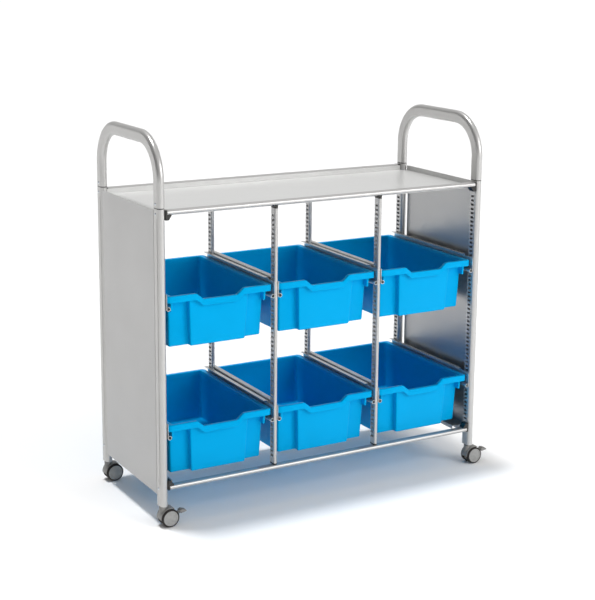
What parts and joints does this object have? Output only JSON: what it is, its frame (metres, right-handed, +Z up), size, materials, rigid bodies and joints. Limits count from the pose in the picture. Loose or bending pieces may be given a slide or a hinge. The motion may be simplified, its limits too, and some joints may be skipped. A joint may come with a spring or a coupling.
{
  "type": "book cart",
  "caption": "Mobile cart of flat-oval tube with hoop handles, a recessed top shelf, and two rows of deep sliding trays on braked swivel castors.",
  "frame": {"origin": "on the floor, midway between the four castor stems", "axes": "+X along the cart to the user's right, +Z up; the tray fronts face -Y"},
  "size_m": [1.0844, 0.4382, 1.057],
  "materials": {
    "frame_paint": "satin silver-grey powder coat",
    "panel_paint": "satin silver-grey powder coat",
    "shelf_paint": "semi-gloss silver-grey powder coat",
    "runner_steel": "bright zinc-plated sheet steel",
    "tray_plastic": "moulded polypropylene, soft sheen",
    "connector_plastic": "black moulded nylon",
    "castor_plastic": "grey moulded nylon",
    "hub_plastic": "light grey moulded nylon",
    "tyre_rubber": "soft dark grey tread",
    "axle_steel": "plain bright steel",
    "screw_zinc": "bright zinc"
  },
  "bodies": {
    "frame": {"end_upright_front_left": "frame_paint", "middle_upright_front_left": "frame_paint", "end_upright_rear_left": "frame_paint", "middle_upright_rear_left": "frame_paint", "end_upright_front_right": "frame_paint", "middle_upright_front_right": "frame_paint", "end_upright_rear_right": "frame_paint", "middle_upright_rear_right": "frame_paint", "side_panel_left": "panel_paint", "handle_left": "frame_paint", "side_panel_right": "panel_paint", "handle_right": "frame_paint", "handle_joiners": "connector_plastic", "top_shelf": "shelf_paint", "bottom_rail_front": "frame_paint", "top_rail_front": "frame_paint", "bottom_rail_rear": "frame_paint", "top_rail_rear": "frame_paint", "bottom_connectors": "connector_plastic", "top_connectors": "connector_plastic", "middle_upright_caps": "connector_plastic", "runner_lower_left_left": "runner_steel", "runner_lower_left_right": "runner_steel", "runner_lower_middle_left": "runner_steel", "runner_lower_middle_right": "runner_steel", "runner_lower_right_left": "runner_steel", "runner_lower_right_right": "runner_steel", "runner_upper_left_left": "runner_steel", "runner_upper_left_right": "runner_steel", "runner_upper_middle_left": "runner_steel", "runner_upper_middle_right": "runner_steel", "runner_upper_right_left": "runner_steel", "runner_upper_right_right": "runner_steel", "castor_sockets": "connector_plastic", "castor_stems": "axle_steel", "frame_screws": "screw_zinc"},
    "tray_lower_left": {"tray_lower_left": "tray_plastic"},
    "tray_lower_middle": {"tray_lower_middle": "tray_plastic"},
    "tray_lower_right": {"tray_lower_right": "tray_plastic"},
    "tray_upper_left": {"tray_upper_left": "tray_plastic"},
    "tray_upper_middle": {"tray_upper_middle": "tray_plastic"},
    "tray_upper_right": {"tray_upper_right": "tray_plastic"},
    "castor_front_left": {"castor_hood_front_left": "castor_plastic", "castor_axle_front_left": "axle_steel"},
    "wheels_front_left": {"castor_tyres_front_left": "tyre_rubber", "castor_hubs_front_left": "hub_plastic"},
    "castor_rear_left": {"castor_hood_rear_left": "castor_plastic", "castor_axle_rear_left": "axle_steel"},
    "wheels_rear_left": {"castor_tyres_rear_left": "tyre_rubber", "castor_hubs_rear_left": "hub_plastic"},
    "castor_front_right": {"castor_hood_front_right": "castor_plastic", "castor_axle_front_right": "axle_steel"},
    "wheels_front_right": {"castor_tyres_front_right": "tyre_rubber", "castor_hubs_front_right": "hub_plastic"},
    "castor_rear_right": {"castor_hood_rear_right": "castor_plastic", "castor_axle_rear_right": "axle_steel"},
    "wheels_rear_right": {"castor_tyres_rear_right": "tyre_rubber", "castor_hubs_rear_right": "hub_plastic"},
    "brake_left": {"brake_lever_left": "castor_plastic"},
    "brake_right": {"brake_lever_right": "castor_plastic"}
  },
  "joints": [
    {"name": "tray_lower_left_slide", "type": "slide", "parent": "frame", "child": "tray_lower_left", "axis": [0, -1, 0], "range_m": [0, 0.3]},
    {"name": "tray_lower_middle_slide", "type": "slide", "parent": "frame", "child": "tray_lower_middle", "axis": [0, -1, 0], "range_m": [0, 0.3]},
    {"name": "tray_lower_right_slide", "type": "slide", "parent": "frame", "child": "tray_lower_right", "axis": [0, -1, 0], "range_m": [0, 0.3]},
    {"name": "tray_upper_left_slide", "type": "slide", "parent": "frame", "child": "tray_upper_left", "axis": [0, -1, 0], "range_m": [0, 0.3]},
    {"name": "tray_upper_middle_slide", "type": "slide", "parent": "frame", "child": "tray_upper_middle", "axis": [0, -1, 0], "range_m": [0, 0.3]},
    {"name": "tray_upper_right_slide", "type": "slide", "parent": "frame", "child": "tray_upper_right", "axis": [0, -1, 0], "range_m": [0, 0.3]},
    {"name": "castor_front_left_swivel", "type": "hinge", "parent": "frame", "child": "castor_front_left", "pos_m": [-0.5018, -0.1917, 0.05], "axis": [0, 0, 1], "continuous": true},
    {"name": "wheels_front_left_roll", "type": "hinge", "parent": "castor_front_left", "child": "wheels_front_left", "pos_m": [-0.4853, -0.1917, 0.025], "axis": [0, 1, 0], "continuous": true},
    {"name": "castor_rear_left_swivel", "type": "hinge", "parent": "frame", "child": "castor_rear_left", "pos_m": [-0.5018, 0.1917, 0.05], "axis": [0, 0, 1], "continuous": true},
    {"name": "wheels_rear_left_roll", "type": "hinge", "parent": "castor_rear_left", "child": "wheels_rear_left", "pos_m": [-0.4853, 0.1917, 0.025], "axis": [0, 1, 0], "continuous": true},
    {"name": "castor_front_right_swivel", "type": "hinge", "parent": "frame", "child": "castor_front_right", "pos_m": [0.5018, -0.1917, 0.05], "axis": [0, 0, 1], "continuous": true},
    {"name": "wheels_front_right_roll", "type": "hinge", "parent": "castor_front_right", "child": "wheels_front_right", "pos_m": [0.5183, -0.1917, 0.025], "axis": [0, 1, 0], "continuous": true},
    {"name": "castor_rear_right_swivel", "type": "hinge", "parent": "frame", "child": "castor_rear_right", "pos_m": [0.5018, 0.1917, 0.05], "axis": [0, 0, 1], "continuous": true},
    {"name": "wheels_rear_right_roll", "type": "hinge", "parent": "castor_rear_right", "child": "wheels_rear_right", "pos_m": [0.5183, 0.1917, 0.025], "axis": [0, 1, 0], "continuous": true},
    {"name": "brake_left_tip", "type": "hinge", "parent": "castor_front_left", "child": "brake_left", "pos_m": [-0.4683, -0.1917, 0.025], "axis": [0, -1, 0], "range_deg": [0, 12]},
    {"name": "brake_right_tip", "type": "hinge", "parent": "castor_front_right", "child": "brake_right", "pos_m": [0.5353, -0.1917, 0.025], "axis": [0, -1, 0], "range_deg": [0, 12]}
  ]
}
